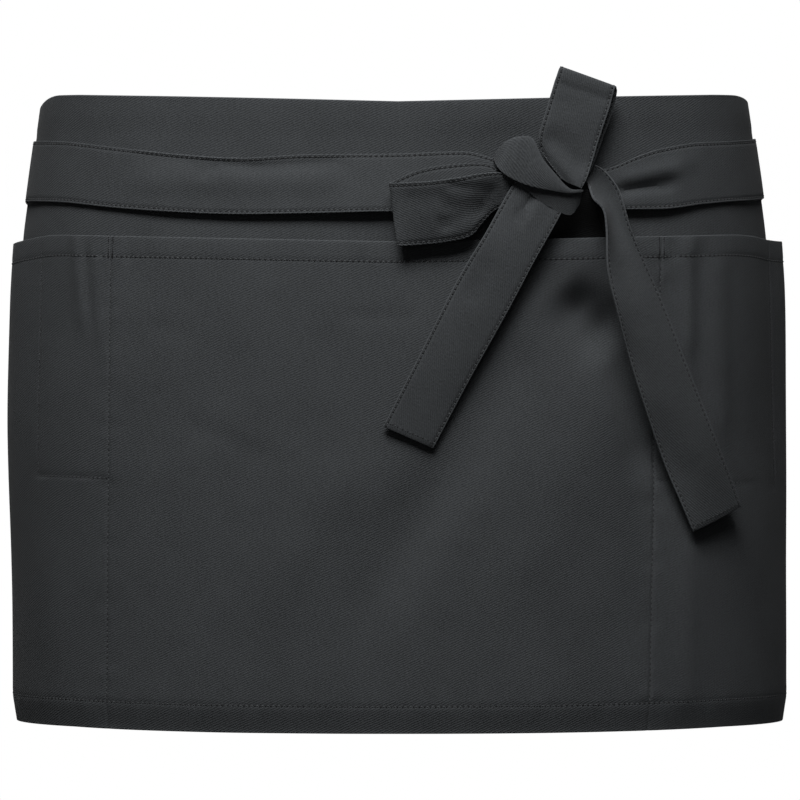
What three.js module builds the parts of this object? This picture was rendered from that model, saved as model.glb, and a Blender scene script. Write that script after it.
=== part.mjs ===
// A waist apron in its worn shape: a panel that wraps the hips, a pocket layer sewn
// over it, and two ties that cross behind, come round the sides and meet in a bow.
// Millimetres. The front faces -Y, Z is up, X runs to the right of the front view.
// The origin is in the middle of the waist, level with the ties.
import * as THREE from 'three';

const apronHeight = 310;      // from the top edge to the hem
const panelWidth = 720;       // flat width, side hem to side hem
const panelWall = 1.2;
const pocketWall = 1.2;
const tieWidth = 30;
const tieWall = 1.1;          // folded double
const layerGap = 0.35;        // between cloths that lie on each other
const hipHalfWidth = 190;     // worn shape, middle to side
const hipHalfDepth = 123;     // worn shape, middle to front
const tieDrop = 40;           // middle of the ties below the top edge
const backDroop = 6;          // how far the back corners hang below the front
const frontLift = 2;          // rise of the top edge towards the sides
const pocketDrop = 67;        // pocket mouth below the top edge
const mouthSag = 6.5;         // how far the mouth sinks at the sides
const pocketPuff = 1.6;       // middle pocket's mouth off the panel
const sideStandOff = 6.3;     // side pocket's mouth off the panel
const leftSeam = 147;         // seams of the middle pocket, along the cloth
const rightSeam = 131;
const leftFlap = 197;         // where the side pockets begin to stand off
const rightFlap = 214;
const foldHeight = 2;         // soft folds that hang from the bow
const knotPlace = 71;         // bow's middle, along the cloth from the centre
const leftLoopReach = 75;
const upperLoopReach = 60;
const leftTailReach = 150;
const rightTailReach = 185;
const sewnLength = 25;        // each tie's end sewn on its back corner
const edgeInset = 1.5;        // that end below the panel's top edge

const sectionPower = 2.35;    // how square the worn section is
const arcSteps = 360;         // chords in each half section
const heightStep = 0.25;      // sections are kept at every such height
const columns = 56;           // faces round the cloth
const crossSteps = 16;        // steps of a tie across the open back
const crossRise = 0.075;      // share of the open back in which the outer tie rises
const halfCloth = panelWidth / 2;
const layerPitch = tieWall + layerGap;
const tieBase = panelWall + layerGap + tieWall / 2;
const bowBase = tieBase + pocketWall + layerGap;
const cloth = new THREE.Color(0.042, 0.044, 0.047);

// Worn section from the top edge down: share of the height, then shares of the half
// width to the left and right and of the half depth to the front and back.
const sectionTable = [
  { down: 0, left: 0.928, right: 0.909, front: 0.905, back: 0.846 },
  { down: 0.075, left: 0.945, right: 0.928, front: 0.917, back: 0.873 },
  { down: 0.15, left: 0.962, right: 0.946, front: 0.93, back: 0.9 },
  { down: 0.24, left: 0.98, right: 0.963, front: 0.945, back: 0.932 },
  { down: 0.36, left: 0.991, right: 0.974, front: 0.965, back: 0.975 },
  { down: 0.55, left: 1.002, right: 0.985, front: 0.984, back: 1.006 },
  { down: 0.72, left: 1, right: 0.998, front: 0.992, back: 1.008 },
  { down: 0.87, left: 0.999, right: 1.006, front: 0.998, back: 0.99 },
  { down: 1, left: 1, right: 1.01, front: 1, back: 0.972 },
];

// Soft folds of the panel and pocket layer: ends as shares of the half cloth and of
// the height, width as a share of the height, height as a share of the fold height.
const foldTable = [
  { fromAlong: -0.0311, fromDown: 0.519, toAlong: -0.236, toDown: 0.868, wide: 0.0581, high: 0.9 },
  { fromAlong: 0.2, fromDown: 0.314, toAlong: -0.106, toDown: 0.93, wide: 0.0548, high: -1 },
  { fromAlong: 0.276, fromDown: 0.363, toAlong: 0.166, toDown: 0.867, wide: 0.071, high: 1 },
  { fromAlong: 0.349, fromDown: 0.475, toAlong: 0.334, toDown: 0.95, wide: 0.0452, high: -0.75 },
  { fromAlong: 0.279, fromDown: 0.299, toAlong: 0.424, toDown: 0.707, wide: 0.029, high: -1.3 },
];

// Ties from the back corner to the knot: place along the half cloth, edges as shares
// of the tie width above the middle line, and edges off the panel in layers.
const leftTieTable = [
  { along: 1, top: -0.083, bottom: -1.083, topOut: 0, bottomOut: 0 },
  { along: 0.84, top: 0.22, bottom: -0.78, topOut: 0, bottomOut: 0 },
  { along: 0.667, top: 0.547, bottom: -0.447, topOut: 0, bottomOut: 0 },
  { along: 0.5, top: 0.617, bottom: -0.377, topOut: 0, bottomOut: 0.2 },
  { along: 0.39, top: 0.54, bottom: -0.443, topOut: 0.05, bottomOut: 0.5 },
  { along: 0.295, top: 0.447, bottom: -0.493, topOut: 0.1, bottomOut: 0.9 },
  { along: 0.222, top: 0.403, bottom: -0.513, topOut: 0.2, bottomOut: 1.2 },
  { along: 0.12, top: 0.467, bottom: -0.49, topOut: 0.2, bottomOut: 1.6 },
  { along: 0.012, top: 0.477, bottom: -0.457, topOut: 0.3, bottomOut: 2 },
  { along: -0.088, top: 0.517, bottom: -0.45, topOut: 0.5, bottomOut: 1.8 },
  { along: -0.125, top: 0.413, bottom: -0.433, topOut: 0.6, bottomOut: 1.5 },
  { along: -0.147, top: 0.25, bottom: -0.383, topOut: 0.4, bottomOut: 1 },
  { along: -0.172, top: 0.167, bottom: -0.317, topOut: 0.1, bottomOut: 0.3 },
  { along: -0.2, top: 0.133, bottom: -0.233, topOut: 0, bottomOut: 0 },
];
const rightTieTable = [
  { along: 1, top: -0.083, bottom: -1.083, topOut: 0, bottomOut: 0 },
  { along: 0.84, top: 0.24, bottom: -0.76, topOut: 0, bottomOut: 0 },
  { along: 0.667, top: 0.6, bottom: -0.383, topOut: 0, bottomOut: 0 },
  { along: 0.5, top: 0.62, bottom: -0.367, topOut: 0, bottomOut: 0.1 },
  { along: 0.437, top: 0.62, bottom: -0.39, topOut: 0.1, bottomOut: 0.4 },
  { along: 0.367, top: 0.533, bottom: -0.453, topOut: 0.8, bottomOut: 1.2 },
  { along: 0.328, top: 0.41, bottom: -0.447, topOut: 1.6, bottomOut: 1.6 },
  { along: 0.297, top: 0.26, bottom: -0.443, topOut: 1.6, bottomOut: 1.5 },
  { along: 0.264, top: 0.167, bottom: -0.367, topOut: 1.2, bottomOut: 1.1 },
  { along: 0.228, top: 0.133, bottom: -0.267, topOut: 1, bottomOut: 1 },
  { along: 0.19, top: 0.133, bottom: -0.2, topOut: 1, bottomOut: 1 },
];

// Strips of the bow: middle as shares of the strip's reach from the knot, width as a
// share of the tie width, turn of the width in degrees, layers off the pocket layer
// at the middle, how many layers the first edge stands further out than the middle,
// and how many layers the middle swells.
const leftLoopTable = [
  { along: -0.092, up: -0.004, wide: 0.49, turn: -90, out: 1.34, tilt: 0, swell: 0 },
  { along: -0.248, up: -0.035, wide: 0.52, turn: -86, out: 1.62, tilt: 0, swell: 0 },
  { along: -0.387, up: -0.028, wide: 0.78, turn: -91, out: 1.9, tilt: 0, swell: 0 },
  { along: -0.587, up: -0.075, wide: 1, turn: -87, out: 2.17, tilt: 0, swell: 0 },
  { along: -0.758, up: -0.121, wide: 1.1, turn: -85, out: 2.45, tilt: 0, swell: 0 },
  { along: -0.883, up: -0.165, wide: 1.09, turn: -84, out: 2.86, tilt: 0, swell: 0 },
  { along: -0.955, up: -0.19, wide: 1.04, turn: -84, out: 3.69, tilt: 0, swell: 0 },
  { along: -0.972, up: -0.196, wide: 1.02, turn: -83, out: 4.66, tilt: 0, swell: 0 },
  { along: -0.95, up: -0.199, wide: 1.03, turn: -82, out: 5.62, tilt: 0, swell: 0 },
  { along: -0.842, up: -0.193, wide: 1.03, turn: -81, out: 6.17, tilt: 0, swell: 0.2 },
  { along: -0.686, up: -0.179, wide: 1.02, turn: -78, out: 6.31, tilt: 0, swell: 0.5 },
  { along: -0.524, up: -0.149, wide: 0.98, turn: -79, out: 6.03, tilt: 0, swell: 0.6 },
  { along: -0.413, up: -0.09, wide: 0.79, turn: -86, out: 5.34, tilt: 0, swell: 0.5 },
  { along: -0.305, up: -0.046, wide: 0.59, turn: -93, out: 4.1, tilt: 0, swell: 0.2 },
  { along: -0.132, up: -0.025, wide: 0.45, turn: -100, out: 2.66, tilt: 0, swell: 0 },
];
const upperLoopTable = [
  { along: 0.226, up: 0.027, wide: 0.35, turn: -49, out: 3.14, tilt: 0, swell: 0 },
  { along: 0.227, up: 0.133, wide: 0.58, turn: -17, out: 3, tilt: 0, swell: 0 },
  { along: 0.214, up: 0.275, wide: 0.87, turn: -10, out: 2.59, tilt: 0, swell: 0 },
  { along: 0.242, up: 0.438, wide: 0.99, turn: -15, out: 2.24, tilt: 0, swell: 0 },
  { along: 0.298, up: 0.596, wide: 1.02, turn: -15, out: 1.97, tilt: 0, swell: 0 },
  { along: 0.344, up: 0.751, wide: 1.01, turn: -17, out: 1.9, tilt: 0, swell: 0 },
  { along: 0.36, up: 0.835, wide: 0.99, turn: -19, out: 2.45, tilt: 0, swell: 0 },
  { along: 0.346, up: 0.86, wide: 0.97, turn: -20, out: 3.41, tilt: 0, swell: 0 },
  { along: 0.327, up: 0.844, wide: 0.96, turn: -20, out: 4.38, tilt: 0, swell: 0 },
  { along: 0.284, up: 0.712, wide: 0.97, turn: -18, out: 4.93, tilt: 0, swell: 0 },
  { along: 0.229, up: 0.542, wide: 0.96, turn: -14, out: 5.07, tilt: 0, swell: 0.2 },
  { along: 0.174, up: 0.354, wide: 0.95, turn: -12, out: 4.79, tilt: 0, swell: 0.3 },
  { along: 0.163, up: 0.224, wide: 0.85, turn: -14, out: 4.93, tilt: 0, swell: 0.2 },
  { along: 0.18, up: 0.098, wide: 0.61, turn: -18, out: 5.34, tilt: 0, swell: 0 },
  { along: 0.199, up: -0.007, wide: 0.34, turn: -26, out: 5.55, tilt: 0, swell: 0 },
];
const leftTailTable = [
  { along: 0.016, up: 0.025, wide: 0.73, turn: -36, out: 5.21, tilt: 0, swell: 0 },
  { along: -0.028, up: -0.045, wide: 0.9, turn: -30, out: 5.34, tilt: 0, swell: 0 },
  { along: -0.115, up: -0.204, wide: 0.91, turn: -29, out: 4.93, tilt: 0.14, swell: 0.3 },
  { along: -0.203, up: -0.367, wide: 0.96, turn: -30, out: 3.97, tilt: 0.28, swell: 0.3 },
  { along: -0.323, up: -0.6, wide: 0.91, turn: -30, out: 2.66, tilt: 0.34, swell: 0.2 },
  { along: -0.44, up: -0.829, wide: 0.89, turn: -24, out: 1.21, tilt: 0.28, swell: 0 },
];
const rightTailTable = [
  { along: 0.087, up: 0.035, wide: 0.35, turn: 48, out: 1.1, tilt: 0, swell: 0 },
  { along: 0.13, up: 0.02, wide: 0.35, turn: 36, out: 1.8, tilt: 0.2, swell: -0.6 },
  { along: 0.156, up: -0.027, wide: 0.49, turn: 20, out: 4.3, tilt: 1.7, swell: -1 },
  { along: 0.175, up: -0.067, wide: 0.42, turn: 5, out: 5.2, tilt: 1.8, swell: -1.8 },
  { along: 0.188, up: -0.124, wide: 0.49, turn: -2, out: 5, tilt: 1.86, swell: -1.4 },
  { along: 0.212, up: -0.228, wide: 0.74, turn: 6, out: 4.79, tilt: 1.79, swell: -0.4 },
  { along: 0.25, up: -0.336, wide: 0.88, turn: 8, out: 4.79, tilt: 1.52, swell: 0.3 },
  { along: 0.322, up: -0.531, wide: 0.95, turn: 7, out: 4.79, tilt: 0.97, swell: 0.3 },
  { along: 0.397, up: -0.709, wide: 0.96, turn: 18, out: 4.79, tilt: 0.14, swell: 0.2 },
  { along: 0.487, up: -0.901, wide: 1.01, turn: 22, out: 4.17, tilt: -0.76, swell: 0 },
];

// The wrap over the knot: upper edge, lower edge and the edge of the turned facet
// below it, as shares of the tie width from the knot, each with its layers out.
const wrapTable = [
  { a1: -0.776, u1: 0.498, o1: 0.66, a2: -0.81, u2: 0.4, o2: 0.86, a3: -0.81, u3: 0.392, o3: 0.86 },
  { a1: -0.632, u1: 0.688, o1: 3.31, a2: -0.769, u2: 0.26, o2: 5.11, a3: -0.761, u3: 0.244, o3: 4.97 },
  { a1: -0.455, u1: 0.767, o1: 5.28, a2: -0.646, u2: 0.136, o2: 6.8, a3: -0.62, u3: 0.099, o3: 6.52 },
  { a1: -0.274, u1: 0.675, o1: 6.31, a2: -0.44, u2: 0.022, o2: 7.55, a3: -0.388, u3: -0.047, o3: 7 },
  { a1: -0.107, u1: 0.423, o1: 7.11, a2: -0.191, u2: -0.06, o2: 7.94, a3: -0.121, u3: -0.277, o3: 7.11 },
  { a1: 0.08, u1: 0.178, o1: 7.39, a2: 0.059, u2: -0.11, o2: 8.08, a3: 0.149, u3: -0.441, o3: 6.98 },
  { a1: 0.325, u1: -0.092, o1: 7.44, a2: 0.329, u2: -0.157, o2: 7.85, a3: 0.375, u3: -0.517, o3: 6.61 },
  { a1: 0.56, u1: -0.112, o1: 6.57, a2: 0.56, u2: -0.137, o2: 6.57, a3: 0.519, u3: -0.349, o3: 6.02 },
];
const wrapSwell = 1.1;        // layers that the wrap swells between its edges

const clamp = (value, low, high) => Math.min(high, Math.max(low, value));
const mix = (a, b, t) => a + (b - a) * t;
const ease = (value) => {
  const t = clamp(value, 0, 1);
  return t * t * (3 - 2 * t);
};

// A row of a table read at any place, straight between its rows.
function readTable(table, key, value) {
  const last = table.length - 1;
  const rising = table[last][key] > table[0][key];
  let i = 0;
  while (i < last - 1 && (rising ? table[i + 1][key] < value : table[i + 1][key] > value)) i += 1;
  const t = clamp((value - table[i][key]) / (table[i + 1][key] - table[i][key]), 0, 1);
  const row = {};
  for (const name of Object.keys(table[i])) row[name] = mix(table[i][name], table[i + 1][name], t);
  return row;
}

// A smooth curve through the rows of a table, read by the row's number.
function curveTable(table, place) {
  const last = table.length - 1;
  const i = clamp(Math.floor(place), 0, last - 1);
  const t = place - i;
  const row = {};
  for (const name of Object.keys(table[0])) {
    const b = table[i][name];
    const c = table[i + 1][name];
    const a = i > 0 ? table[i - 1][name] : 2 * b - c;
    const d = i < last - 1 ? table[i + 2][name] : 2 * c - b;
    const slopeB = (c - a) / 2;
    const slopeC = (d - b) / 2;
    const t2 = t * t;
    const t3 = t2 * t;
    row[name] = b * (2 * t3 - 3 * t2 + 1) + slopeB * (t3 - 2 * t2 + t)
      + c * (3 * t2 - 2 * t3) + slopeC * (t3 - t2);
  }
  return row;
}

// Half of the worn section at one height, as points with their length from the front.
function halfSection(row, side) {
  const halfWidth = hipHalfWidth * (side < 0 ? row.left : row.right);
  const points = [];
  let length = 0;
  for (let i = 0; i <= arcSteps; i += 1) {
    const angle = (Math.PI * i) / arcSteps;
    const depth = hipHalfDepth * (angle < Math.PI / 2 ? row.front : row.back);
    const across = Math.abs(Math.sin(angle)) / halfWidth;
    const along = Math.abs(Math.cos(angle)) / depth;
    const radius = (across ** sectionPower + along ** sectionPower) ** (-1 / sectionPower);
    const x = side * radius * Math.sin(angle);
    const y = -radius * Math.cos(angle);
    if (i > 0) length += Math.hypot(x - points[i - 1].x, y - points[i - 1].y);
    points.push({ x, y, length });
  }
  return points;
}

const keptSections = new Map();
function sectionAt(z) {
  const key = Math.round(z / heightStep);
  if (!keptSections.has(key)) {
    const row = readTable(sectionTable, 'down', (tieDrop - key * heightStep) / apronHeight);
    keptSections.set(key, { left: halfSection(row, -1), right: halfSection(row, 1) });
  }
  return keptSections.get(key);
}

// Length right round the worn shape at a height.
function roundAt(z) {
  const section = sectionAt(z);
  return section.left[arcSteps].length + section.right[arcSteps].length;
}

// The point at a length along the cloth from the front centre, at a height, and so far
// out from the worn shape. Lengths past the back run on round the other side.
function placeAt(along, z, out) {
  const section = sectionAt(z);
  let s = along;
  if (s > section.right[arcSteps].length) s -= roundAt(z);
  if (s < -section.left[arcSteps].length) s += roundAt(z);
  const points = s < 0 ? section.left : section.right;
  const side = s < 0 ? -1 : 1;
  const reach = Math.abs(s);
  let i = Math.min(arcSteps - 1, Math.floor((reach / points[arcSteps].length) * arcSteps));
  while (i > 0 && points[i].length > reach) i -= 1;
  while (i < arcSteps - 1 && points[i + 1].length < reach) i += 1;
  const a = points[i];
  const b = points[i + 1];
  const t = (reach - a.length) / (b.length - a.length);
  const size = Math.hypot(b.x - a.x, b.y - a.y);
  const normalX = (side * (b.y - a.y)) / size;
  const normalY = (-side * (b.x - a.x)) / size;
  return new THREE.Vector3(mix(a.x, b.x, t) + normalX * out, mix(a.y, b.y, t) + normalY * out, z);
}

// Height of a point of the cloth, from its place along the cloth and below its top edge.
function clothHeight(along, down) {
  const reach = Math.abs(along) / halfCloth;
  const lift = frontLift * Math.sin(Math.PI * clamp(reach / 0.72, 0, 1)) * (1 - down / apronHeight);
  const droop = backDroop * clamp((reach - 0.47) / 0.53, 0, 1) ** 1.2;
  return tieDrop - down + lift - droop;
}

// How far the soft folds push the cloth out.
function foldAt(along, down) {
  let out = 0;
  for (const fold of foldTable) {
    const startX = fold.fromAlong * halfCloth;
    const startY = fold.fromDown * apronHeight;
    const runX = fold.toAlong * halfCloth - startX;
    const runY = fold.toDown * apronHeight - startY;
    const run = Math.hypot(runX, runY);
    const t = ((along - startX) * runX + (down - startY) * runY) / (run * run);
    const aside = Math.abs((along - startX) * runY - (down - startY) * runX) / run;
    const fade = ease(t / 0.3) * ease((1 - t) / 0.4);
    const side = Math.exp(-((aside / (fold.wide * apronHeight)) ** 2));
    out += fold.high * foldHeight * fade * side;
  }
  return out;
}

// How far the pocket layer stands off the panel, beyond the sewn gap.
function standOff(along, down) {
  const below = clamp((down - pocketDrop) / (apronHeight - pocketDrop), 0, 1);
  const middle = clamp((along + leftSeam) / (leftSeam + rightSeam), 0, 1);
  const puff = pocketPuff * Math.sin(Math.PI * middle) * (1 - ease(below / 0.6));
  const flap = along < 0 ? leftFlap : rightFlap;
  const rise = ease((Math.abs(along) - flap) / 30);
  const close = ease((halfCloth - Math.abs(along)) / 55);
  const side = sideStandOff * rise * close * (1 - ease((below - 0.08) / 0.9));
  return puff + side;
}

// How far the cloth under a strip stands out where the strip hangs over it.
function restOn(along, z) {
  const down = tieDrop - z;
  return foldAt(along, down) + standOff(along, down) * ease((down - pocketDrop) / 25 + 1);
}

const mouthDown = (along) => pocketDrop + mouthSag * ease((Math.abs(along) - leftSeam) / 95);
const columnAt = (i) => -halfCloth + (panelWidth * i) / columns;

// A closed wall between two grids of points of the same size.
function closedWall(outer, inner) {
  const rows = outer.length;
  const perRow = outer[0].length;
  const points = [...outer.flat(), ...inner.flat()];
  const faces = [];
  const shift = rows * perRow;
  const quad = (a, b, c, d) => faces.push(a, b, c, a, c, d);
  for (let i = 0; i < rows - 1; i += 1) {
    for (let j = 0; j < perRow - 1; j += 1) {
      const a = i * perRow + j;
      quad(a, a + 1, a + perRow + 1, a + perRow);
      quad(a + shift, a + perRow + shift, a + perRow + 1 + shift, a + 1 + shift);
    }
  }
  for (let j = 0; j < perRow - 1; j += 1) {
    const end = (rows - 1) * perRow + j;
    quad(j, j + shift, j + 1 + shift, j + 1);
    quad(end, end + 1, end + 1 + shift, end + shift);
  }
  for (let i = 0; i < rows - 1; i += 1) {
    const start = i * perRow;
    const end = start + perRow - 1;
    quad(start, start + perRow, start + perRow + shift, start + shift);
    quad(end, end + shift, end + perRow + shift, end + perRow);
  }
  let volume = 0;
  for (let k = 0; k < faces.length; k += 3) {
    const a = points[faces[k]];
    volume += a.dot(points[faces[k + 1]].clone().cross(points[faces[k + 2]]));
  }
  if (volume < 0) {
    for (let k = 0; k < faces.length; k += 3) [faces[k + 1], faces[k + 2]] = [faces[k + 2], faces[k + 1]];
  }
  const geometry = new THREE.BufferGeometry();
  geometry.setAttribute('position', new THREE.Float32BufferAttribute(points.flatMap((p) => p.toArray()), 3));
  geometry.setIndex(faces);
  geometry.computeVertexNormals();
  return geometry;
}

// A closed wall of one thickness about a grid of middle points.
function thickGrid(middle, wall) {
  const rows = middle.length;
  const perRow = middle[0].length;
  const outer = [];
  const inner = [];
  for (let i = 0; i < rows; i += 1) {
    outer.push([]);
    inner.push([]);
    for (let j = 0; j < perRow; j += 1) {
      const down = middle[Math.min(i + 1, rows - 1)][j].clone().sub(middle[Math.max(i - 1, 0)][j]);
      const across = middle[i][Math.min(j + 1, perRow - 1)].clone().sub(middle[i][Math.max(j - 1, 0)]);
      const normal = down.cross(across).normalize().multiplyScalar(wall / 2);
      outer[i].push(middle[i][j].clone().add(normal));
      inner[i].push(middle[i][j].clone().sub(normal));
    }
  }
  return closedWall(outer, inner);
}

function sheetBetween(downs, innerOut, outerOut) {
  const outer = [];
  const inner = [];
  for (let i = 0; i <= columns; i += 1) {
    const along = columnAt(i);
    const down = downs(along);
    outer.push(down.map((d) => placeAt(along, clothHeight(along, d), outerOut(along, d))));
    inner.push(down.map((d) => placeAt(along, clothHeight(along, d), innerOut(along, d))));
  }
  return closedWall(outer, inner);
}

const rowShares = [0, 0.037, 0.075, 0.112, 0.15, 0.2, 0.24, 0.3, 0.36, 0.45, 0.55, 0.64, 0.72, 0.8, 0.87, 1];

function makePanel() {
  const downs = () => rowShares.map((share) => share * apronHeight);
  return sheetBetween(downs, foldAt, (along, down) => foldAt(along, down) + panelWall);
}

function makePocketLayer() {
  const lower = rowShares.filter((share) => share * apronHeight > pocketDrop + mouthSag + 8);
  const downs = (along) => [mouthDown(along), ...lower.map((share) => share * apronHeight)];
  const innerOut = (along, down) => foldAt(along, down) + panelWall + layerGap + standOff(along, down);
  return sheetBetween(downs, innerOut, (along, down) => innerOut(along, down) + pocketWall);
}

// One tie: sewn at the far back corner, across the open back, round its own side and
// to the knot. The left tie lies outside where the two cross.
function makeTie(side, table, crossLayers, stretch) {
  const middle = [];
  const across = 3;
  const cornerZ = clothHeight(halfCloth, edgeInset) - tieWidth / 2;
  const addRow = (alongAt, top, bottom, topOut, bottomOut) => {
    const row = [];
    for (let j = 0; j <= across; j += 1) {
      const z = mix(top, bottom, j / across);
      const out = tieBase + layerPitch * mix(topOut, bottomOut, j / across);
      row.push(placeAt(side * alongAt(z), z, out));
    }
    middle.push(row);
  };
  const step = panelWidth / columns;
  for (const along of [sewnLength - halfCloth, step - halfCloth, -halfCloth]) {
    addRow(() => along, cornerZ + tieWidth / 2, cornerZ - tieWidth / 2, 0, 0);
  }
  const nearMiddle = mix(table[0].top, table[0].bottom, 0.5) * tieWidth;
  for (let i = 1; i < crossSteps; i += 1) {
    const t = i / crossSteps;
    const z = mix(cornerZ, nearMiddle, t);
    const raise = crossLayers * ease(t / crossRise) * ease((1 - t) / crossRise);
    const alongAt = (height) => -halfCloth - t * (roundAt(height) - panelWidth);
    addRow(alongAt, z + tieWidth / 2, z - tieWidth / 2, raise, raise);
  }
  const places = table.filter((row) => row.along < stretch).map((row) => row.along * halfCloth);
  const end = Math.min(...places);
  for (let i = 0; i <= columns; i += 1) {
    const along = -columnAt(i);
    const near = places.some((place) => Math.abs(place - along) < step / 3);
    if (along > end && !near) places.push(along);
  }
  places.sort((a, b) => b - a);
  for (const along of places) {
    const row = readTable(table, 'along', along / halfCloth);
    addRow(() => along, row.top * tieWidth, row.bottom * tieWidth, row.topOut, row.bottomOut);
  }
  return thickGrid(middle, tieWall);
}

// A strip of the bow through the rows of its table.
function makeStrip(table, reach, perRow, across) {
  const middle = [];
  const steps = (table.length - 1) * perRow;
  for (let i = 0; i <= steps; i += 1) {
    const row = curveTable(table, i / perRow);
    const turn = THREE.MathUtils.degToRad(row.turn);
    const points = [];
    for (let j = 0; j <= across; j += 1) {
      const t = j / across - 0.5;
      const width = row.wide * tieWidth;
      const along = knotPlace + row.along * reach + t * width * Math.cos(turn);
      const up = row.up * reach + t * width * Math.sin(turn);
      const swell = row.swell * (1 - 4 * t * t);
      const out = bowBase + layerPitch * (row.out - 2 * t * row.tilt + swell);
      points.push(placeAt(along, up, out + restOn(along, up)));
    }
    middle.push(points);
  }
  return thickGrid(middle, tieWall);
}

function makeWrap(perRow) {
  const middle = [];
  const steps = (wrapTable.length - 1) * perRow;
  const upper = 5;
  const lower = 2;
  for (let i = 0; i <= steps; i += 1) {
    const row = curveTable(wrapTable, i / perRow);
    const fade = Math.sin((Math.PI * i) / steps);
    const points = [];
    for (let j = 0; j <= upper + lower; j += 1) {
      const onUpper = j <= upper;
      const t = onUpper ? j / upper : (j - upper) / lower;
      const swell = onUpper ? wrapSwell * fade * 4 * t * (1 - t) : 0;
      const along = (onUpper ? mix(row.a1, row.a2, t) : mix(row.a2, row.a3, t)) * tieWidth;
      const up = (onUpper ? mix(row.u1, row.u2, t) : mix(row.u2, row.u3, t)) * tieWidth;
      const out = onUpper ? mix(row.o1, row.o2, t) : mix(row.o2, row.o3, t);
      points.push(placeAt(knotPlace + along, up, bowBase + layerPitch * (out + swell)));
    }
    middle.push(points);
  }
  return thickGrid(middle, tieWall);
}

const apron = new THREE.Group();
apron.name = 'waist_apron';

function add(name, geometry) {
  const material = new THREE.MeshStandardMaterial({ color: cloth, roughness: 0.92, metalness: 0 });
  const mesh = new THREE.Mesh(geometry, material);
  mesh.name = name;
  apron.add(mesh);
}

add('apron_panel', makePanel());
add('pocket_layer', makePocketLayer());
add('tie_left', makeTie(-1, leftTieTable, 1, 0.3));
add('tie_right', makeTie(1, rightTieTable, 0, 0.44));
add('bow_loop_left', makeStrip(leftLoopTable, leftLoopReach, 2, 4));
add('bow_loop_upper', makeStrip(upperLoopTable, upperLoopReach, 2, 4));
add('tail_left', makeStrip(leftTailTable, leftTailReach, 3, 4));
add('tail_right', makeStrip(rightTailTable, rightTailReach, 3, 4));
add('knot_wrap', makeWrap(2));

export default apron;
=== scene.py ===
import math

import bmesh
import bpy
import numpy as np
from mathutils import Matrix, Vector


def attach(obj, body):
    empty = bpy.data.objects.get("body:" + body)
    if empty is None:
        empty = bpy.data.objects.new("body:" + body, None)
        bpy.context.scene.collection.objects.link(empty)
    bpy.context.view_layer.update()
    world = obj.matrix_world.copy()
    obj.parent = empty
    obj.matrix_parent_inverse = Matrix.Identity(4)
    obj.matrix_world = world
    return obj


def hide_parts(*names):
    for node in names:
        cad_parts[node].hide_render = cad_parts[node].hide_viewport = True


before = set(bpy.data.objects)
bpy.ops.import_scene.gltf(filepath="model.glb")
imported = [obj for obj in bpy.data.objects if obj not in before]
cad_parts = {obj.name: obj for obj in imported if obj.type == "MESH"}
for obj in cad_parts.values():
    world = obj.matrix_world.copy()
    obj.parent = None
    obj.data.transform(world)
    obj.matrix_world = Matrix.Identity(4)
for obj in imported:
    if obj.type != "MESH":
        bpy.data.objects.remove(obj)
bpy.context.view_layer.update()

hip = {  # worn shape in millimetres, the same sizes as in the CAD
    "apronHeight": 310.0,
    "panelWidth": 720.0,
    "halfWidth": 190.0,
    "halfDepth": 123.0,
    "power": 2.35,  # squareness of the section, 2 for an ellipse
    "tieDrop": 40.0,
    "backDroop": 6.0,
    "droopFrom": 0.47,  # share of the half cloth
    "droopPower": 1.2,
    "frontLift": 2.0,
    "liftReach": 0.72,
}
layers = {  # heights off the worn shape, in millimetres
    "panelMiddle": 0.6,
    "pocketMiddle": 2.15,
    "tieMiddle": 1.9,
    "bowMiddle": 3.65,
    "pitch": 1.45,  # one layer of strap
}
panel = {
    "step": 3.0,  # millimetres between points
    "rowStep": 4.0,
    "wall": 0.9,
    "hemWall": 1.4,
    "hem": 13.5,
    "backBand": 12.0,  # its stitches, in from the back edges
    "curl": 2.6,  # how far the hem turns in at the bottom
    "curlFrom": 17.0,
    "curlRun": 24.0,
    "slack": 0.22,
    "bulge": 2.2,  # the top edge stands off beside the bow
    "bulgePlace": 42.0,
    "bulgeWidth": 36.0,
    "bulgeDepth": 32.0,
    "leftDip": 5.5,  # how far the top edge dips at the hips
    "rightDip": 3.0,
    "dipFrom": 188.0,
    "dipRun": 46.0,
    "dipUntil": 265.0,
    "dipFade": 70.0,
    "dipDepth": 45.0,
    "colour": (0.0452, 0.0484, 0.0513),
}
pocket = {
    "step": 2.5,
    "rowStep": 3.0,
    "wall": 0.9,
    "hemWall": 1.15,
    "leastHeight": 1.62,  # its middle off the worn shape, clear of the panel
    "drop": 68.5,  # mouth below the top edge
    "mouthSag": 4.0,
    "rightMouthSag": 3.0,
    "sagFrom": 178.0,
    "sagRun": 60.0,
    "mouthHem": 10.0,
    "puff": 1.6,
    "puffShare": 0.6,  # of the pocket's height, from the mouth
    "rightStandOff": 6.3,
    "leftStandOff": 3.2,
    "standOffRise": 30.0,
    "standOffClose": 55.0,
    "leftSeam": 147.0,
    "rightSeam": 131.0,
    "leftFlap": 197.0,
    "rightFlap": 214.0,
    "sideFloor": 188.0,  # bottom seam of the side pockets
    "leanReach": 24.0,  # how far from a seam the columns lean with it
}
tie = {
    "width": 30.0,
    "wall": 1.15,
    "step": 2.0,
    "sewnLength": 25.0,
    "edgeInset": 1.5,
    "crossRise": 0.075,
    "seamInset": 1.3,  # stitches in from the edge
}
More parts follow.
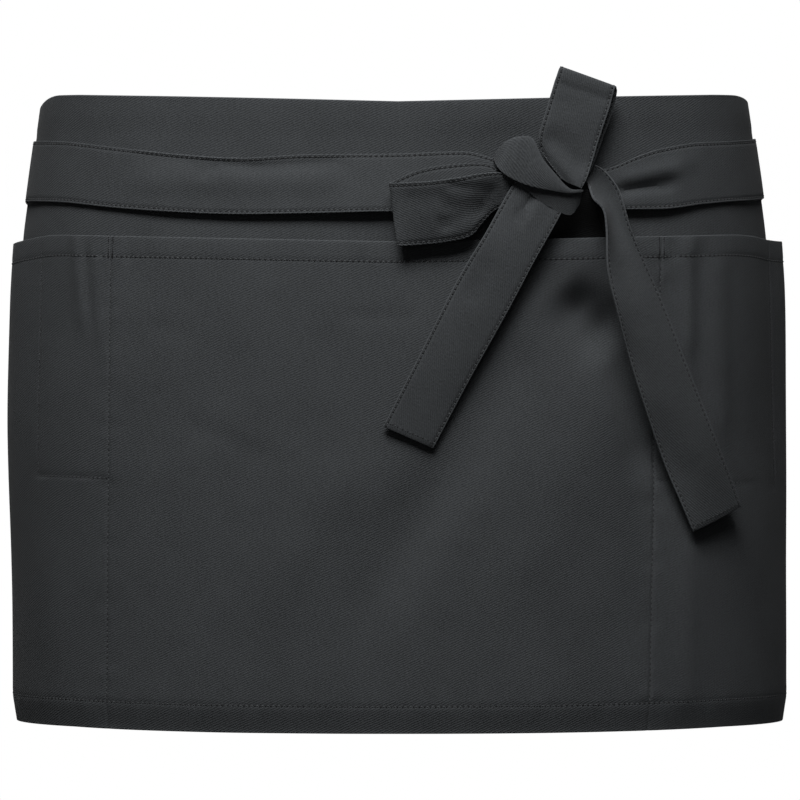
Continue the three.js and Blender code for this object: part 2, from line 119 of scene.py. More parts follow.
bow = {
    "knotPlace": 71.0,
    "leftLoopReach": 75.0,
    "upperLoopReach": 60.0,
    "leftTailReach": 150.0,
    "rightTailReach": 185.0,
    "wall": 1.2,
    "rowsPerStation": 12,
    "wrapSwell": 0.7,
    "wrapRows": 71,
    "wrapColumns": 19,
    "facetLap": 0.15,  # how far it starts under the wrap
    "facetBehind": 0.75,
    "facetEdgeBehind": 1.4,
}


def columnsOf(names, rows):
    values = np.array(rows, float)
    return {name: values[:, i] for i, name in enumerate(names.split())}


tieColumns = "along top bottom topOut bottomOut"
stripColumns = "along up wide turn out tilt swell"
lineColumns = "fromAlong fromDown toAlong toDown wide high"

sectionTable = columnsOf("down left right front back", [
    (0, 0.928, 0.909, 0.905, 0.846),
    (0.075, 0.945, 0.928, 0.917, 0.873),
    (0.15, 0.962, 0.946, 0.93, 0.9),
    (0.24, 0.98, 0.963, 0.945, 0.932),
    (0.36, 0.991, 0.974, 0.965, 0.975),
    (0.55, 1.002, 0.985, 0.984, 1.006),
    (0.72, 1, 0.998, 0.992, 1.008),
    (0.87, 0.999, 1.006, 0.998, 0.99),
    (1, 1, 1.01, 1, 0.972),
])
foldTable = columnsOf(lineColumns, [
    (-11.2, 160.9, -85.0, 269.1, 18.0, 1.8),
    (72.0, 97.3, -38.2, 288.3, 16.0, -2.8),
    (99.4, 112.5, 59.8, 268.8, 22.0, 2.0),
    (125.6, 147.2, 120.2, 294.5, 14.0, -1.5),
    (100.4, 92.7, 152.6, 219.2, 9.0, -2.6),
])
leftTieTable = columnsOf(tieColumns, [
    (-0.2, 0.133, -0.233, 0, 0),
    (-0.172, 0.167, -0.317, 0.1, 0.3),
    (-0.147, 0.25, -0.383, 0.4, 1),
    (-0.125, 0.413, -0.433, 0.6, 1.5),
    (-0.088, 0.517, -0.45, 0.5, 1.8),
    (0.012, 0.477, -0.457, 0.3, 2),
    (0.12, 0.467, -0.49, 0.2, 1.6),
    (0.222, 0.403, -0.513, 0.2, 1.2),
    (0.295, 0.447, -0.493, 0.1, 0.9),
    (0.39, 0.54, -0.443, 0.05, 0.5),
    (0.5, 0.617, -0.377, 0, 0.2),
    (0.667, 0.547, -0.447, 0, 0),
    (0.84, 0.22, -0.78, 0, 0),
    (1, -0.083, -1.083, 0, 0),
])
rightTieTable = columnsOf(tieColumns, [
    (0.19, 0.133, -0.2, 1, 1),
    (0.228, 0.133, -0.267, 1, 1),
    (0.264, 0.167, -0.367, 1.2, 1.1),
    (0.297, 0.26, -0.443, 1.6, 1.5),
    (0.328, 0.41, -0.447, 1.6, 1.6),
    (0.367, 0.533, -0.453, 0.8, 1.2),
    (0.437, 0.62, -0.39, 0.1, 0.4),
    (0.5, 0.62, -0.367, 0, 0.1),
    (0.667, 0.6, -0.383, 0, 0),
    (0.84, 0.24, -0.76, 0, 0),
    (1, -0.083, -1.083, 0, 0),
])
leftLoopTable = columnsOf(stripColumns, [
    (-0.092, -0.004, 0.49, -90, 1.34, 0, 0),
    (-0.248, -0.035, 0.52, -86, 1.62, 0, 0),
    (-0.387, -0.028, 0.78, -91, 1.9, 0, 0),
    (-0.587, -0.075, 1, -87, 2.17, 0, 0),
    (-0.758, -0.121, 1.1, -85, 2.45, 0, 0),
    (-0.883, -0.165, 1.09, -84, 2.86, 0, 0),
    (-0.955, -0.19, 1.04, -84, 3.69, 0, 0),
    (-0.972, -0.196, 1.02, -83, 4.2, 0.4, 0),
    (-0.95, -0.199, 1.03, -82, 5.1, 1.4, 0),
    (-0.842, -0.193, 1.03, -81, 5.8, 2.6, 0.2),
    (-0.686, -0.179, 1.02, -78, 6.2, 3, 0.5),
    (-0.524, -0.149, 0.98, -79, 6.2, 3.2, 0.6),
    (-0.413, -0.09, 0.79, -86, 5.6, 2.8, 0.5),
    (-0.305, -0.046, 0.59, -93, 4.6, 1.8, 0.2),
    (-0.132, -0.025, 0.45, -100, 2.66, 0, 0),
])
upperLoopTable = columnsOf(stripColumns, [
    (0.226, 0.027, 0.35, -49, 3.14, 0, 0),
    (0.227, 0.133, 0.58, -17, 3, 0, 0),
    (0.214, 0.275, 0.87, -10, 2.59, 0, 0),
    (0.242, 0.438, 0.99, -15, 2.24, 0, 0),
    (0.298, 0.596, 1.02, -15, 1.97, 0, 0),
    (0.344, 0.751, 1.01, -17, 1.9, 0, 0),
    (0.36, 0.835, 0.99, -19, 2.45, 0, 0),
    (0.346, 0.86, 0.97, -20, 3.41, 0, 0),
    (0.327, 0.844, 0.96, -20, 4.38, 0, 0),
    (0.284, 0.712, 0.97, -18, 4.93, 0, 0),
    (0.229, 0.542, 0.96, -14, 5.07, 0, 0.2),
    (0.174, 0.354, 0.95, -12, 4.79, 0, 0.3),
    (0.163, 0.224, 0.85, -14, 4.93, 0, 0.2),
    (0.18, 0.098, 0.61, -18, 5.34, 0, 0),
    (0.199, -0.007, 0.34, -26, 5.55, 0, 0),
])
leftTailTable = columnsOf(stripColumns, [
    (0.016, 0.025, 0.73, -36, 5.21, 0, 0),
    (-0.028, -0.045, 0.9, -30, 5.34, 0, 0),
    (-0.115, -0.204, 0.91, -29, 4.6, 0.14, 0.3),
    (-0.203, -0.367, 0.96, -30, 3.2, 0.28, 0.3),
    (-0.323, -0.6, 0.91, -30, 1.9, 0.3, 0.2),
    (-0.44, -0.829, 0.89, -24, 0.6, 0.2, 0),
])
rightTailTable = columnsOf(stripColumns, [
    (0.087, 0.035, 0.35, 48, 1.1, 0, 0),
    (0.13, 0.02, 0.35, 36, 2.4, 0.6, -1.6),
    (0.156, -0.027, 0.49, 20, 4.9, 2, -3.8),
    (0.175, -0.067, 0.42, 5, 6, 2.2, -4.4),
    (0.188, -0.124, 0.49, -2, 6, 2.4, -3.4),
    (0.212, -0.228, 0.74, 6, 5.6, 2.6, -1),
    (0.25, -0.336, 0.88, 8, 5.2, 2.4, 0.3),
    (0.322, -0.531, 0.97, 8, 4.5, 0.9, 0.5),
    (0.397, -0.709, 0.98, 17, 3.8, -0.3, 0.4),
    (0.487, -0.901, 1.01, 22, 2.8, -0.7, 0),
])
wrapTable = columnsOf("a1 u1 o1 a2 u2 o2 a3 u3 o3", [
    (-0.776, 0.498, 0.66, -0.81, 0.4, 0.86, -0.81, 0.392, 0.86),
    (-0.632, 0.688, 6.2, -0.769, 0.26, 5.9, -0.761, 0.244, 5.7),
    (-0.455, 0.767, 7.7, -0.646, 0.136, 7.3, -0.62, 0.099, 7),
    (-0.252, 0.735, 7.8, -0.44, 0.022, 7.55, -0.388, -0.047, 7),
    (-0.107, 0.423, 8.1, -0.191, -0.06, 7.94, -0.121, -0.277, 7.11),
    (0.08, 0.178, 8.0, 0.059, -0.11, 8.08, 0.149, -0.441, 6.98),
    (0.325, -0.092, 7.7, 0.329, -0.157, 7.85, 0.375, -0.517, 6.61),
    (0.56, -0.112, 6.57, 0.56, -0.137, 6.57, 0.519, -0.349, 6.02),
])
seamTable = columnsOf("fromAlong fromDown toAlong toDown groove pucker", [
    (-145.2, 68, -148.2, 309, 0.4, 0.35),
    (132.5, 68, 125.2, 309, 0.4, 0.4),
    (-194.4, 75, -195.6, 187, 0.35, 0.2),
    (220.6, 73, 220.3, 192, 0.35, 0.2),
    (-195.6, 187, -148, 187, 0.25, 0.25),
    (130.6, 188, 218.3, 192, 0.25, 0.25),
])
pocketCreases = columnsOf(lineColumns, [
    (-162.4, 70.9, -156.6, 113.5, 1.6, -0.8),
    (-168, 62, -162, 112, 3.6, 1.1),
    (-152.9, 69.2, -151.6, 79, 1.5, -0.6),
    (-155, 64, -151.5, 120, 3, 0.8),
    (-134.4, 68.3, -135.4, 81.1, 1.6, -0.5),
    (-102.5, 159, -57.6, 178.1, 5, -0.35),
    (-123.4, 110.3, -102.5, 117.3, 4, -0.3),
    (-25.8, 105.5, 10.8, 106, 3, -0.3),
    (147.6, 69.1, 148.5, 125.7, 4, 1.2),
    (156.1, 75, 153.9, 150.5, 3.4, -1.1),
    (167.4, 78.5, 169.5, 165.8, 6, 1.1),
    (135.9, 71.8, 140.4, 79.8, 2, -0.8),
    (148.1, 216.7, 146.7, 298.1, 6, 0.9),
    (133.5, 90.9, 135.7, 113.1, 2.4, -0.6),
    (84, 62, 86, 84, 16, 1.8),
])
hollowTable = columnsOf(lineColumns, [
    (85, 97, 104, 120, 12.5, -6.9),  # where the cloth sinks in under the bow
    (103, 98, 121, 182, 8, -2.4),
])
leftTieCreases = columnsOf(lineColumns, [
    (132.4, 26.6, 97.7, 30.1, 2.4, -0.7),
    (97.7, 30.1, 66.6, 32.3, 2.4, -1.1),
    (66.6, 31.8, 28.3, 29.2, 2.6, -0.7),
    (100.8, 36.5, 89, 33.4, 1.8, -0.9),
    (132, 39.5, 30, 38.5, 6, 1),
    (134, 25, 60, 27, 5, 0.6),
    (70, 27, 26, 26, 4, 0.5),
])
rightTieCreases = columnsOf(lineColumns, [
    (107.6, 44.4, 139.1, 40, 2.6, -2),
    (120.3, 35.2, 155.3, 30, 4, 0.6),
    (110, 38.5, 143, 34.5, 3.4, 1.2),
])
leftLoopCreases = columnsOf(lineColumns, [
    (24, 40.6, 46, 43.6, 2.2, -1),
    (22, 51.5, 44.5, 47.5, 2.8, -1.3),
    (20.2, 60.6, 41.6, 51.9, 2.4, -1.6),
    (2.4, 47.9, 22.6, 46, 4, -0.5),
])
upperLoopCreases = columnsOf(lineColumns, [
    (64, 19, 83.3, 43.4, 2.2, -2),
    (71.7, 16.4, 89.6, 33.7, 6, -1.4),
    (75.5, -9.5, 102.8, -0.4, 2.6, -0.5),
])
leftTailCreases = columnsOf(lineColumns, [
    (64.2, 45.2, 56.1, 58.9, 1.5, -1.3),
    (68, 48.2, 61.8, 58.9, 2, 0.8),
    (44.1, 78.3, 34.6, 96.9, 5, -0.5),
])
rightTailCreases = columnsOf(lineColumns, [
    (107.1, 78.9, 117.1, 112.4, 4, -0.6),
    (124.8, 141.9, 143.4, 176.8, 5, 0.5),
])


def mix(a, b, t):
    return a + (b - a) * t


def ease(value):
    t = np.clip(value, 0, 1)
    return t * t * (3 - 2 * t)


def ripple(place, seed):  # uneven waves from -1 to 1 along a seam
    return (np.sin(place / 1.55 + seed) + np.sin(place / 2.3 + seed * 2.3)
            + np.sin(place / 4.1 + seed * 5.1)) / 3


def smoothRead(table, key, at):  # a curve through the rows that never overshoots them
    xs = table[key]
    step = np.diff(xs)
    i = np.clip(np.searchsorted(xs, at) - 1, 0, len(xs) - 2)
    t = np.clip((at - xs[i]) / step[i], 0, 1)
    row = {}
    for name, ys in table.items():
        rise = np.diff(ys) / step
        slope = np.zeros(len(ys))
        slope[0], slope[-1] = rise[0], rise[-1]
        product = rise[:-1] * rise[1:]
        total = rise[:-1] + rise[1:]
        slope[1:-1] = np.where(product > 0, 2 * product / np.where(total == 0, 1, total), 0)
        row[name] = (ys[i] * (2 * t**3 - 3 * t**2 + 1) + ys[i + 1] * (3 * t**2 - 2 * t**3)
                     + step[i] * (slope[i] * (t**3 - 2 * t**2 + t) + slope[i + 1] * (t**3 - t**2)))
    return row


def curveRead(table, place):  # a smooth curve through the rows, read by the row's number
    last = len(next(iter(table.values()))) - 1
    i = np.clip(np.floor(place).astype(int), 0, last - 1)
    t = place - i
    row = {}
    for name, ys in table.items():
        b, c = ys[i], ys[i + 1]
        a = np.where(i > 0, ys[np.maximum(i - 1, 0)], 2 * b - c)
        d = np.where(i < last - 1, ys[np.minimum(i + 2, last)], 2 * c - b)
        row[name] = (b * (2 * t**3 - 3 * t**2 + 1) + (c - a) / 2 * (t**3 - 2 * t**2 + t)
                     + c * (3 * t**2 - 2 * t**3) + (d - b) / 2 * (t**3 - t**2))
    return row


grid = {"zLow": -300.0, "zStep": 2.0, "zCount": 186, "sReach": 740.0, "sStep": 1.0}


def makeHipGrid():  # points and normals of the worn shape by length round it and height
    zs = grid["zLow"] + grid["zStep"] * np.arange(grid["zCount"])
    ss = np.arange(-grid["sReach"], grid["sReach"] + 1, grid["sStep"])
    share = smoothRead(sectionTable, "down", (hip["tieDrop"] - zs) / hip["apronHeight"])
    angle = np.linspace(0, 2 * math.pi, 2881)
    sine, cosine = np.sin(angle), np.cos(angle)
    rows, rounds = [], []
    for k in range(len(zs)):
        across = hip["halfWidth"] * np.where(angle <= math.pi, share["right"][k], share["left"][k])
        depth = hip["halfDepth"] * np.where(cosine > 0, share["front"][k], share["back"][k])
        power = hip["power"]
        radius = (np.abs(sine / across)**power + np.abs(cosine / depth)**power)**(-1 / power)
        x, y = radius * sine, -radius * cosine
        length = np.concatenate([[0], np.cumsum(np.hypot(np.diff(x), np.diff(y)))])
        placeS = np.mod(ss, length[-1])
        rows.append((np.interp(placeS, length, x), np.interp(placeS, length, y)))
        rounds.append(length[-1])
    points = np.array(rows)
    tangent = np.gradient(points, axis=2)
    tangent /= np.linalg.norm(tangent, axis=1, keepdims=True)
    grid["x"], grid["y"] = points[:, 0], points[:, 1]
    grid["nx"], grid["ny"] = tangent[:, 1], -tangent[:, 0]
    grid["z"], grid["round"] = zs, np.array(rounds)


makeHipGrid()


def roundAt(z):
    return np.interp(z, grid["z"], grid["round"])


def placeAt(along, z, out):  # along the cloth from the front centre, height, and distance out
    along, z, out = np.broadcast_arrays(*(np.asarray(v, float) for v in (along, z, out)))
    placeS = (along + grid["sReach"]) / grid["sStep"]
    placeZ = (z - grid["zLow"]) / grid["zStep"]
    i = np.clip(np.floor(placeS).astype(int), 0, grid["x"].shape[1] - 2)
    k = np.clip(np.floor(placeZ).astype(int), 0, grid["x"].shape[0] - 2)
    ts, tz = placeS - i, placeZ - k
    parts = {}
    for name in ("x", "y", "nx", "ny"):
        values = grid[name]
        low = mix(values[k, i], values[k, i + 1], ts)
        high = mix(values[k + 1, i], values[k + 1, i + 1], ts)
        parts[name] = mix(low, high, tz)
    return np.stack([parts["x"] + parts["nx"] * out, parts["y"] + parts["ny"] * out, z], axis=-1)


def clothHeight(along, down):
    reach = np.abs(along) / (hip["panelWidth"] / 2)
    lift = hip["frontLift"] * np.sin(math.pi * np.clip(reach / hip["liftReach"], 0, 1))
    toBack = np.clip((reach - hip["droopFrom"]) / (1 - hip["droopFrom"]), 0, 1)
    droop = hip["backDroop"] * toBack**hip["droopPower"]
    return hip["tieDrop"] - down + lift * (1 - down / hip["apronHeight"]) - droop


def lineRead(table, k, along, down):  # share along one line of a table, and distance from it
    runX = table["toAlong"][k] - table["fromAlong"][k]
    runY = table["toDown"][k] - table["fromDown"][k]
    run = math.hypot(runX, runY)
    offX, offY = along - table["fromAlong"][k], down - table["fromDown"][k]
    return (offX * runX + offY * runY) / run**2, np.abs(offX * runY - offY * runX) / run, run


def foldAt(along, down):
    out = 0
    for k in range(len(foldTable["wide"])):
        t, aside, run = lineRead(foldTable, k, along, down)
        fade = ease(t / 0.3) * ease((1 - t) / 0.4)
        out = out + foldTable["high"][k] * fade * np.exp(-(aside / foldTable["wide"][k])**2)
    return out


def creasesAt(table, along, down):  # small folds and grooves that fade at both ends
    out = 0
    for k in range(len(table["wide"])):
        t, aside, run = lineRead(table, k, along, down)
        wide = table["wide"][k]
        reach = max(1.5 * wide, 0.25 * run)
        fade = ease(t * run / reach + 0.5) * ease((1 - t) * run / reach + 0.5)
        out = out + table["high"][k] * fade * np.exp(-(aside / wide)**2)
    return out


def standOff(along, down):
    below = np.clip((down - pocket["drop"]) / (hip["apronHeight"] - pocket["drop"]), 0, 1)
    middle = np.clip((along + pocket["leftSeam"]) / (pocket["leftSeam"] + pocket["rightSeam"]), 0, 1)
    puff = pocket["puff"] * np.sin(math.pi * middle) * (1 - ease(below / pocket["puffShare"]))
    flap = np.where(along < 0, pocket["leftFlap"], pocket["rightFlap"])
    rise = ease((np.abs(along) - flap) / pocket["standOffRise"])
    close = ease((hip["panelWidth"] / 2 - np.abs(along)) / pocket["standOffClose"])
    side = np.where(along < 0, pocket["leftStandOff"], pocket["rightStandOff"])
    return puff + side * rise * close * (1 - ease((below - 0.08) / 0.9))


def restOn(along, z):
    down = hip["tieDrop"] - z
    return foldAt(along, down) + standOff(along, down) * ease((down - pocket["drop"]) / 25 + 1)


def mouthDown(along):
    sag = np.where(along < 0, pocket["mouthSag"], pocket["rightMouthSag"])
    return pocket["drop"] + sag * ease((np.abs(along) - pocket["sagFrom"]) / pocket["sagRun"])


def seamRelief(along, down):  # the groove that stitches pull in, and the puckers beside it
    out = 0
    for k in range(len(seamTable["groove"])):
        t, aside, run = lineRead(seamTable, k, along, down)
        inside = ease(t * run / 3 + 1) * ease((1 - t) * run / 3 + 1)
        wave = ripple(t * run, k + 1.0) * np.exp(-(aside / 5)**2) * (1 - np.exp(-(aside / 1.2)**2))
        dip = np.exp(-(aside / 0.9)**2)
        out = out + inside * (seamTable["pucker"][k] * wave - seamTable["groove"][k] * dip)
    return out


def hemRelief(aside, along, seed, groove, pucker):
    wave = ripple(along, seed) * np.exp(-(aside / 4.5)**2)
    return pucker * wave - groove * np.exp(-(aside / 0.9)**2)


def slackAt(along, down):  # slow unevenness of worn cloth
    wide = np.sin(along / 17 + down / 41) * np.sin(down / 23 - along / 57)
    narrow = np.sin(along / 9.3 - down / 31 + 1.7) * np.sin(down / 37 + along / 71 + 0.4)
    return panel["slack"] * (wide + 0.6 * narrow)


def hemCurl(down):  # the hem turns in a little at the bottom
    fromStart = down - hip["apronHeight"] + panel["curlFrom"]
    return -panel["curl"] * ease(fromStart / panel["curlRun"])


def cornerDip(along, down):  # the dip at the hips rounds the corners seen from the front
    reach = np.abs(along)
    size = np.where(along < 0, panel["leftDip"], panel["rightDip"])
    rise = ease((reach - panel["dipFrom"]) / panel["dipRun"])
    fade = 1 - ease((reach - panel["dipUntil"]) / panel["dipFade"])
    return size * rise * fade * (1 - ease(down / panel["dipDepth"]))


def panelPoint(along, down, lift=0.0):
    hidden = ease((down - pocket["drop"]) / 10)
    out = layers["panelMiddle"] + foldAt(along, down) + slackAt(along, down) * (1 - hidden)
    out = out + hemCurl(down) + creasesAt(hollowTable, along, down)
    aside = (along - panel["bulgePlace"]) / panel["bulgeWidth"]
    out = out + panel["bulge"] * np.exp(-aside**2) * (1 - ease(down / panel["bulgeDepth"]))
    return placeAt(along, clothHeight(along, down) - cornerDip(along, down), out + lift)


def pocketPoint(along, down, lift=0.0):
    mouth = mouthDown(along)
    out = layers["pocketMiddle"] + foldAt(along, down) + standOff(along, down)
    out = out + seamRelief(along, down) + slackAt(along, down) * ease((down - mouth) / 30)
    out = out + hemRelief(down - mouth - pocket["mouthHem"], along, 3.0, 0.08, 0.14)
    out = out + hemRelief(down - hip["apronHeight"] + panel["hem"], along, 7.0, 0.12, 0.22)
    out = out + creasesAt(pocketCreases, along, down)
    out = np.maximum(out, pocket["leastHeight"] + foldAt(along, down))
    out = out + hemCurl(down) + creasesAt(hollowTable, along, down)
    return placeAt(along, clothHeight(along, down), out + lift)


def tieRows(side, table, crossLayers, end):  # the tie's knots by length, for its smooth edges
    width, halfCloth = tie["width"], hip["panelWidth"] / 2
    cornerZ = clothHeight(halfCloth, tie["edgeInset"]) - width / 2
    nearZ = (table["top"][-1] + table["bottom"][-1]) / 2 * width
    cross = roundAt(0.0) - hip["panelWidth"]
    steps = np.arange(-tie["sewnLength"], cross + halfCloth * (1 - end) + 0.01, tie["step"])
    steps = np.append(steps, cross + halfCloth * (1 - end))
    share = np.clip(steps / cross, 0, 1)
    near = smoothRead(table, "along", np.minimum(1, 1 - (steps - cross) / halfCloth))
    front = steps > cross
    middle = mix(cornerZ, nearZ, share)
    raise_ = crossLayers * ease(share / tie["crossRise"]) * ease((1 - share) / tie["crossRise"])
    return {
        "side": side,
        "steps": steps,
        "share": np.where(front, 0, share),
        "base": np.where(front, halfCloth - (steps - cross), np.minimum(0, steps) * -1 - halfCloth),
        "top": np.where(front, near["top"] * width, middle + width / 2),
        "bottom": np.where(front, near["bottom"] * width, middle - width / 2),
        "topOut": np.where(front, near["topOut"], raise_),
        "bottomOut": np.where(front, near["bottomOut"], raise_),
    }


def tiePoint(rows, i, t, creases, lift=0.0):  # t runs from 0 at the top edge to 1
    z = mix(rows["top"][i], rows["bottom"][i], t)
    out = mix(rows["topOut"][i], rows["bottomOut"][i], t) * layers["pitch"] + layers["tieMiddle"]
    along = rows["base"][i] - rows["share"][i] * (roundAt(z) - hip["panelWidth"])
    onFront = rows["share"][i] == 0
    out = out + np.where(onFront, creasesAt(creases, along, hip["tieDrop"] - z), 0)
    return placeAt(rows["side"] * along, z, np.maximum(out, layers["tieMiddle"] - 0.15) + lift)


def stripPoint(strip, place, t):  # t runs from -0.5 to 0.5 across the strip
    row = curveRead(strip["table"], place)
    turn = np.radians(row["turn"])
    width = row["wide"] * tie["width"]
    along = bow["knotPlace"] + row["along"] * strip["reach"] + t * width * np.cos(turn)
    up = row["up"] * strip["reach"] + t * width * np.sin(turn)
    swell = row["swell"] * (1 - 4 * t * t)
    out = layers["bowMiddle"] + layers["pitch"] * (row["out"] - 2 * t * row["tilt"] + swell)
    inFront = ease(place - strip["frontFrom"] + 1)
    out = out + inFront * creasesAt(strip["creases"], along, hip["tieDrop"] - up)
    return placeAt(along, up, out + restOn(along, up))


def wrapPoint(place, t, facet=False):
    row = curveRead(wrapTable, place)
    width = tie["width"]
    fade = np.sin(math.pi * place / (len(wrapTable["a1"]) - 1))
    if facet:
        along = mix(mix(row["a2"], row["a1"], bow["facetLap"]), row["a3"], t) * width
        up = mix(mix(row["u2"], row["u1"], bow["facetLap"]), row["u3"], t) * width
        out = mix(row["o2"] - bow["facetBehind"], row["o3"] - bow["facetEdgeBehind"], t)
    else:
        along = mix(row["a1"], row["a2"], t) * width
        up = mix(row["u1"], row["u2"], t) * width
        out = mix(row["o1"], row["o2"], t) + bow["wrapSwell"] * fade * 4 * t * (1 - t)
    return placeAt(bow["knotPlace"] + along, up, layers["bowMiddle"] + layers["pitch"] * out)


def addPiece(name, mesh, material):
    for face in mesh.polygons:
        face.use_smooth = True
    mesh.materials.append(material)
    piece = bpy.data.objects.new(name, mesh)
    bpy.context.scene.collection.objects.link(piece)
    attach(piece, "root")
    return piece


edge = {
    "angle": 50.0,
    "width": 0.00028,  # metres for each millimetre of wall
    "segments": 2,
}


def makeSheet(name, us, vs, pointsOf, material, wall, thick=None, uvOf=None, wearOf=None):
    bm = bmesh.new()
    bmesh.ops.create_grid(bm, x_segments=len(us) - 1, y_segments=len(vs) - 1, size=1)
    flat = np.array([vert.co[:2] for vert in bm.verts])
    i = np.rint((flat[:, 0] + 1) / 2 * (len(us) - 1)).astype(int)
    j = np.rint((flat[:, 1] + 1) / 2 * (len(vs) - 1)).astype(int)
    u, v = np.asarray(us, float)[i], np.asarray(vs, float)[j]
    points = pointsOf(u, v) * 0.001
    for vert, point in zip(bm.verts, points):
        vert.co = point
    bm.verts.index_update()
    uvs = (uvOf(u, v) if uvOf else np.stack([u, -v], axis=-1)) * 0.001
    layer = bm.loops.layers.uv.new("weave")
    for face in bm.faces:
        for loop in face.loops:
            loop[layer].uv = uvs[loop.vert.index]
    wear = wearOf(u, v) if wearOf else np.zeros(len(u))
    wearLayer = bm.verts.layers.float.new("wear")
    for vert, value in zip(bm.verts, wear):
        vert[wearLayer] = value
    mesh = bpy.data.meshes.new(name)
    bm.to_mesh(mesh)
    bm.free()
    piece = addPiece(name, mesh, material)
    solid = piece.modifiers.new("wall", "SOLIDIFY")
    solid.thickness = wall * 0.001
    solid.offset = 0
    solid.use_even_offset = False
    if thick:
        group = piece.vertex_groups.new(name="thick")
        weights = thick(u, v)
        for level in np.unique(np.round(weights, 2)):
            chosen = np.nonzero(np.round(weights, 2) == level)[0].tolist()
            group.add(chosen, float(level), "REPLACE")
        solid.vertex_group = "thick"
        solid.thickness_vertex_group = 0.0
    rounding = piece.modifiers.new("roundedEdge", "BEVEL")
    rounding.affect = "EDGES"
    rounding.limit_method = "ANGLE"
    rounding.angle_limit = math.radians(edge["angle"])
    rounding.width = wall * edge["width"]
    rounding.segments = edge["segments"]
    rounding.profile = 0.5
    rounding.material = -1
    return piece


thread = {
    "pitch": 2.7,
    "length": 1.7,
    "width": 0.7,
    "proud": 0.28,  # how far it stands off the cloth
    "holeLength": 1.9,  # beads between the stitches, painted near black as the shade of their pulled-in places
    "holeWidth": 1.6,
    "holeShade": 0.78,  # painted shade in the beads between the stitches, 1 for nearly black
    "holeDrop": 0.16,
    "colour": (0.068, 0.072, 0.075),
    "darkest": 0.7,  # times the colour
    "lightest": 1.25,
    # the colour of painted shade, between the stitches and beside the bar tacks
    "paintedShadeBlack": (0.006, 0.006, 0.007),
}


def makeStitchForm():  # the corners and faces of one stitch, a small long bead
    bm = bmesh.new()
    bmesh.ops.create_uvsphere(bm, u_segments=6, v_segments=4, radius=1,
                              matrix=Matrix.Rotation(math.pi / 2, 4, "Y"))
    form = (np.array([vert.co[:] for vert in bm.verts]),
            [[vert.index for vert in face.verts] for face in bm.faces])
    bm.free()
    return form


stitchForm = makeStitchForm()


def unit(values):
    return values / np.linalg.norm(values, axis=-1, keepdims=True)


def sewInto(sewn, points, normals, size):  # one row of stitches along a line of points
    length = np.concatenate([[0], np.cumsum(np.linalg.norm(np.diff(points, axis=0), axis=1))])
    centres = np.arange(size["pitch"] / 2, length[-1], size["pitch"])

    def read(values, shift):
        return np.stack([np.interp(centres + shift, length, values[:, k]) for k in range(3)], axis=-1)

    middle = read(points, 0)
    tangent = unit(read(points, size["length"] / 3) - read(points, -size["length"] / 3))
    side = unit(np.cross(read(normals, 0), tangent))
    up = np.cross(tangent, side)
    turn = size.get("turn", 0.0)
    first = tangent * math.cos(turn) + side * math.sin(turn)
    second = side * math.cos(turn) - tangent * math.sin(turn)
    sizes = (size["length"], size["width"], size["height"])
    addBeads(sewn, middle, (first, second, up), sizes, size.get("dark", 0))
    # between the stitches go lower beads mixed toward near black: painted shade
    if "turn" not in size:
        holeSizes = (thread["holeLength"], thread["holeWidth"], size["height"] - thread["holeDrop"])
        between = read(points, size["pitch"] / 2)
        addBeads(sewn, between, (first, second, up), holeSizes, thread["holeShade"])


def addBeads(sewn, middle, axes, sizes, dark):
    corners, faces = stitchForm
    beads = middle[:, None]
    for k in range(3):
        beads = beads + corners[None, :, k:k + 1] * axes[k][:, None] * sizes[k] / 2
    for bead in beads:
        sewn["faces"] += [[index + sewn["count"] for index in face] for face in faces]
        sewn["points"].append(bead * 0.001)
        sewn["count"] += len(bead)
        sewn["dark"] += [float(dark)] * len(bead)


def stitchSize(wall, **changes):
    size = {
        "pitch": thread["pitch"],
        "length": thread["length"],
        "width": thread["width"],
        "height": wall + 2 * thread["proud"],
    }
    size.update(changes)
    return size


class Wires:  # short calls for building a material's nodes
    def __init__(self, name):
        self.material = bpy.data.materials.new(name)
        self.material.use_nodes = True
        self.nodes = self.material.node_tree.nodes
        self.links = self.material.node_tree.links
        self.shader = self.nodes["Principled BSDF"]

    def add(self, kind, values=None, **settings):
        node = self.nodes.new("ShaderNode" + kind)
        for name, value in settings.items():
            setattr(node, name, value)
        for name, value in (values or {}).items():
            if isinstance(value, bpy.types.NodeSocket):
                self.links.new(value, node.inputs[name])
            else:
                node.inputs[name].default_value = value
        return node

    def maths(self, operation, first, second):
        node = self.nodes.new("ShaderNodeMath")
        node.operation = operation
        for socket, value in zip(node.inputs, (first, second)):
            if isinstance(value, bpy.types.NodeSocket):
                self.links.new(value, socket)
            else:
                socket.default_value = value
        return node.outputs[0]


twill = {
    "pitch": 0.0011,  # metres from rib to rib
    "panelAngle": 25.0,  # ribs above the horizontal
    "strapAngle": 28.0,  # ribs to the strap's length
    "warpScale": 260.0,
    "warpReach": 0.00055,
    "yarnScale": (900.0, 1700.0, 1.0),
    "slubScale": (1500.0, 130.0, 1.0),
    "mottleScale": 38.0,
    "ribTone": 0.16,  # what each pattern adds to the tone
    "yarnTone": 0.75,
    "slubTone": 0.30,
    "mottleTone": 0.28,
    "wearTone": 0.35,
    "darkest": 0.57,  # times the colour
    "lightest": 1.41,
    "bump": 0.8,
    "bumpReach": 0.0002,
    "roughness": 0.88,
    "roughnessSpread": 0.06,
    "sheen": 0.03,
    "specular": 0.12,
}


